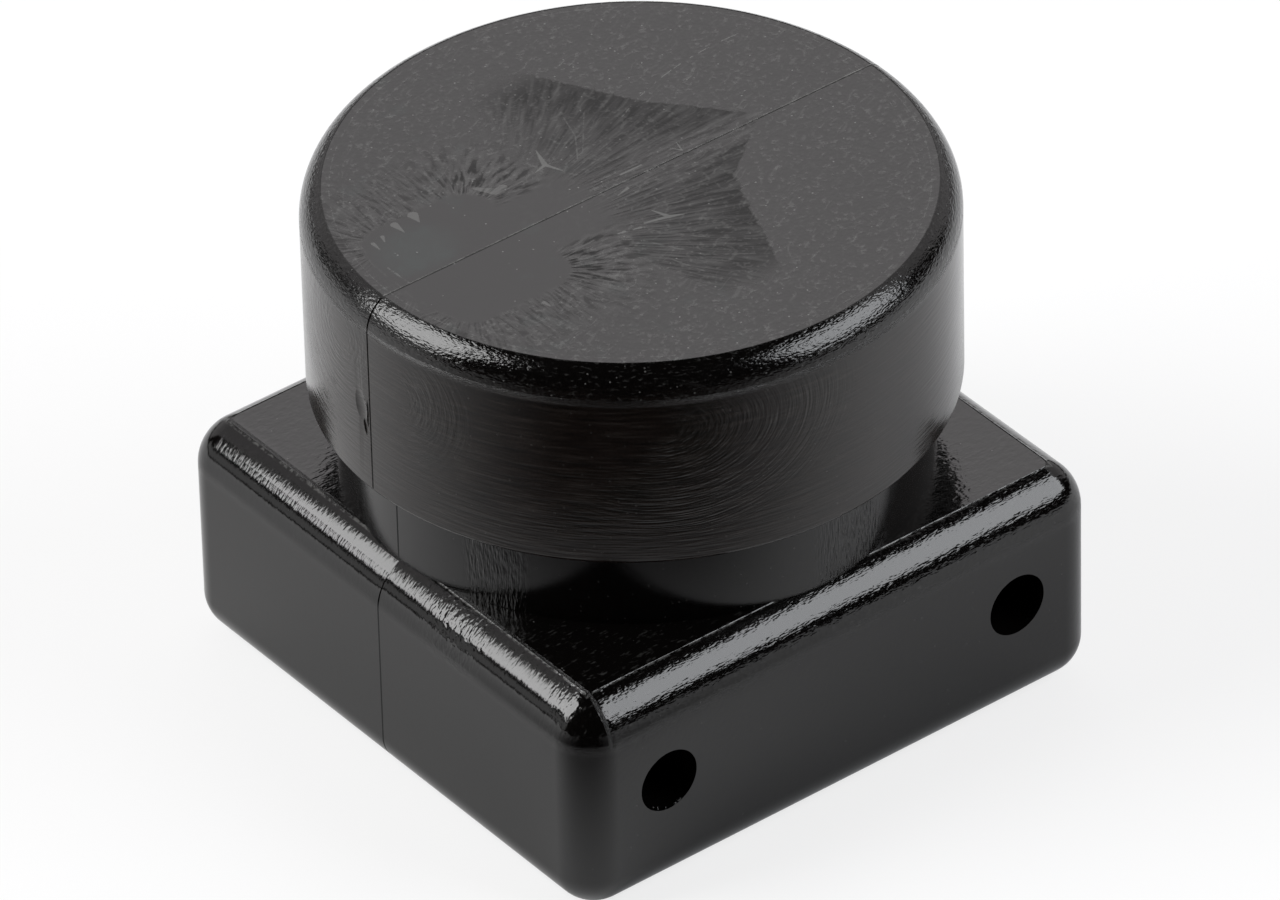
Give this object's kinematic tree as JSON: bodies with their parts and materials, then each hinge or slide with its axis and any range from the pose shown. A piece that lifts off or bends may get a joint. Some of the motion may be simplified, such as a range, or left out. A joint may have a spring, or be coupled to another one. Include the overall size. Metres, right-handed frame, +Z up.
{
  "type": "blanking cap",
  "caption": "Moulded blanking cap with a square base, a round neck and a round head, cross holes through the base and a blind socket below.",
  "frame": {"origin": "middle of the flat underside of the square base", "axes": "+Z up from the underside to the head, Y along the two cross holes and normal to the mould's parting plane, X across the two cross holes"},
  "size_m": [0.04, 0.04, 0.0352],
  "materials": {
    "rubber": "satin black moulded rubber with flow marks and a fine parting line"
  },
  "bodies": {
    "root": {"cap": "rubber"}
  },
  "joints": []
}
